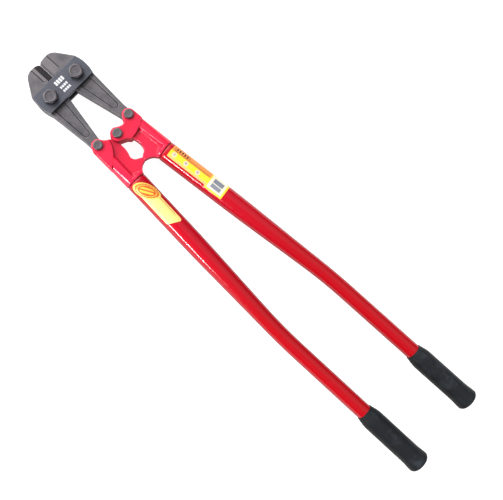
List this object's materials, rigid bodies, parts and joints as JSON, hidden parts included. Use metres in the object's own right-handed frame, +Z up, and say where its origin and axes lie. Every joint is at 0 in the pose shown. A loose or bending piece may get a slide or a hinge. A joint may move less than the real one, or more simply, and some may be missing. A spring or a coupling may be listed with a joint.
{
  "type": "bolt cutters",
  "caption": "Long-handled bolt cutters with centre-cut jaws between side plates, forked red yokes, tapered tube handles and black rubber grips.",
  "frame": {"origin": "middle of the underside of the whole tool, lying flat with the jaws closed", "axes": "+X along the tool from the jaws to the grips, +Y across it towards the right handle, +Z up out of the side that shows the bolt heads"},
  "size_m": [0.9068, 0.1736, 0.0487],
  "materials": {
    "jaw_steel": "forged grey, ground at the edges",
    "plate_steel": "dark satin",
    "fastener_steel": "dull grey",
    "red_casting": "bright red enamel on a casting",
    "red_tube": "glossy red enamel",
    "black_rubber": "satin",
    "yellow_label": "printed sticker with no words"
  },
  "bodies": {
    "left_handle": {"yoke_left": "red_casting", "handle_tube_left": "red_tube", "handle_grip_left": "black_rubber", "label_left": "yellow_label", "tail_pin_left": "fastener_steel", "tail_pin_nut_left": "fastener_steel"},
    "right_handle": {"yoke_right": "red_casting", "handle_tube_right": "red_tube", "handle_grip_right": "black_rubber", "label_right": "yellow_label", "tail_pin_right": "fastener_steel", "tail_pin_nut_right": "fastener_steel", "centre_pin": "fastener_steel", "centre_pin_nut": "fastener_steel"},
    "left_jaw": {"jaw_left": "jaw_steel"},
    "right_jaw": {"jaw_right": "jaw_steel"},
    "side_plates": {"side_plate_front": "plate_steel", "side_plate_back": "plate_steel", "jaw_bolt_left": "fastener_steel", "jaw_bolt_right": "fastener_steel", "jaw_lock_washer_left": "fastener_steel", "jaw_lock_washer_right": "fastener_steel", "jaw_nut_left": "fastener_steel", "jaw_nut_right": "fastener_steel"}
  },
  "joints": [
    {"name": "handle_opening", "type": "hinge", "parent": "left_handle", "child": "right_handle", "pos_m": [-0.2834, 0, 0.0251], "axis": [0, 0, 1], "range_deg": [0, 90]},
    {"name": "left_jaw_tail", "type": "hinge", "parent": "left_handle", "child": "left_jaw", "pos_m": [-0.292, -0.0357, 0.0251], "axis": [0, 0, 1], "range_deg": [0, 53.5]},
    {"name": "right_jaw_tail", "type": "hinge", "parent": "right_handle", "child": "right_jaw", "pos_m": [-0.292, 0.0357, 0.0251], "axis": [0, 0, 1], "range_deg": [-53.5, 0]},
    {"name": "left_jaw_bolt", "type": "hinge", "parent": "left_jaw", "child": "side_plates", "pos_m": [-0.3984, -0.029, 0.0251], "axis": [0, 0, 1], "range_deg": [-8.5, 0]}
  ],
  "couplings": [
    {"joint": "left_jaw_tail", "follows": "handle_opening", "ratio": 0.5894},
    {"joint": "right_jaw_tail", "follows": "handle_opening", "ratio": -0.5894},
    {"joint": "left_jaw_bolt", "follows": "handle_opening", "ratio": -0.0894}
  ]
}
